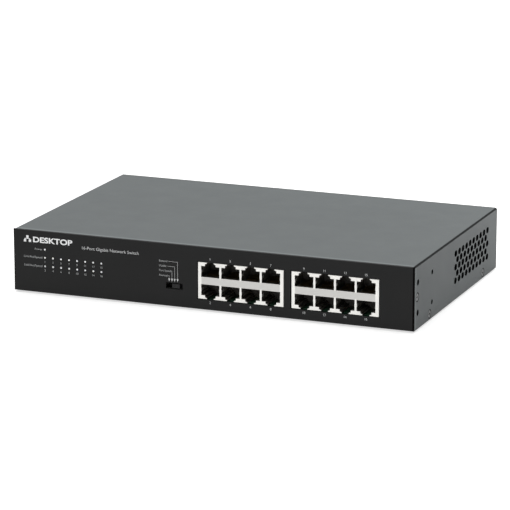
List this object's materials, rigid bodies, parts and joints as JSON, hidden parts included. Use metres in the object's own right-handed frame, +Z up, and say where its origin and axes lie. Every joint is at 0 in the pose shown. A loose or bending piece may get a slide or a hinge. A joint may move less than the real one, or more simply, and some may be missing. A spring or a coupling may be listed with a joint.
{
  "type": "desktop network switch",
  "caption": "Flat metal-cased network switch with two blocks of stacked shielded sockets, lamp rows and a mode slide switch on its front.",
  "frame": {"origin": "bottom centre of the whole object, on the surface that its feet stand on", "axes": "+X to the right along the front panel as its user sees it, +Y to the rear, +Z up"},
  "size_m": [0.28, 0.1774, 0.043],
  "materials": {
    "tray_paint": "fine satin black powder coat",
    "cover_paint": "fine textured grey powder coat",
    "foot_rubber": "soft black rubber",
    "screw_steel": "zinc plated steel",
    "standoff_brass": "machined brass",
    "circuit_board": "green solder resist",
    "insulating_film": "thin translucent polyester film",
    "shield_nickel": "bright nickel plated sheet",
    "black_moulding": "moulded black nylon",
    "knob_plastic": "dark grey moulded plastic",
    "contact_gold": "gold plated spring wire",
    "light_pipe_acrylic": "clear to milky acrylic",
    "lamp_body": "white moulded plastic",
    "chip_epoxy": "moulded epoxy",
    "heatsink_aluminium": "extruded aluminium",
    "ferrite": "dark grey ferrite",
    "winding_tape": "yellow polyester tape",
    "capacitor_sleeve": "shrunk sleeve",
    "fuse_glass": "glass tube in plated clips",
    "wire_sleeve": "extruded wire insulation",
    "earth_wire_sleeve": "green and yellow wire insulation"
  },
  "bodies": {
    "case": {"base_tray": "tray_paint", "board_capacitors": "capacitor_sleeve", "board_inductors": "ferrite", "bulk_capacitor": "capacitor_sleeve", "chip_heatsink": "heatsink_aluminium", "clock_crystal": "shield_nickel", "cover_screws_left": "screw_steel", "cover_screws_right": "screw_steel", "dc_header_board": "lamp_body", "dc_header_supply": "lamp_body", "earth_lug": "screw_steel", "earth_stud": "screw_steel", "earth_wire": "earth_wire_sleeve", "fuse": "fuse_glass", "harness_plugs": "lamp_body", "indicator_leds": "lamp_body", "inlet_nuts": "screw_steel", "inlet_pins": "contact_gold", "inlet_screws": "screw_steel", "insulating_sheet": "insulating_film", "jack_contacts_left": "contact_gold", "jack_contacts_right": "contact_gold", "jack_housing_left": "black_moulding", "jack_housing_right": "black_moulding", "jack_shield_left": "shield_nickel", "jack_shield_right": "shield_nickel", "light_pipe_holder": "black_moulding", "light_pipes": "light_pipe_acrylic", "line_transformers": "black_moulding", "main_board": "circuit_board", "main_board_screws": "screw_steel", "main_board_standoffs": "standoff_brass", "mains_choke": "ferrite", "mains_header": "black_moulding", "mains_wires": "wire_sleeve", "memory_chip": "chip_epoxy", "mode_switch_base": "black_moulding", "mode_switch_body": "black_moulding", "mode_switch_clamp": "screw_steel", "mode_switch_pins": "contact_gold", "output_capacitors": "capacitor_sleeve", "output_diode_heatsink": "heatsink_aluminium", "power_inlet": "black_moulding", "rubber_feet": "foot_rubber", "socket_driver_chip": "chip_epoxy", "supply_board": "circuit_board", "supply_harness": "wire_sleeve", "supply_heatsink": "heatsink_aluminium", "supply_screws": "screw_steel", "supply_standoffs": "standoff_brass", "supply_transformer_core": "ferrite", "supply_transformer_winding": "winding_tape", "switch_chip": "chip_epoxy", "switching_transistor": "chip_epoxy", "thermal_pad": "black_moulding", "top_cover": "cover_paint"},
    "mode_slider": {"mode_knob": "knob_plastic", "mode_wiper": "contact_gold"}
  },
  "joints": [
    {"name": "mode_slide", "type": "slide", "parent": "case", "child": "mode_slider", "axis": [1, 0, 0], "range_m": [-0.004, 0.002]}
  ]
}
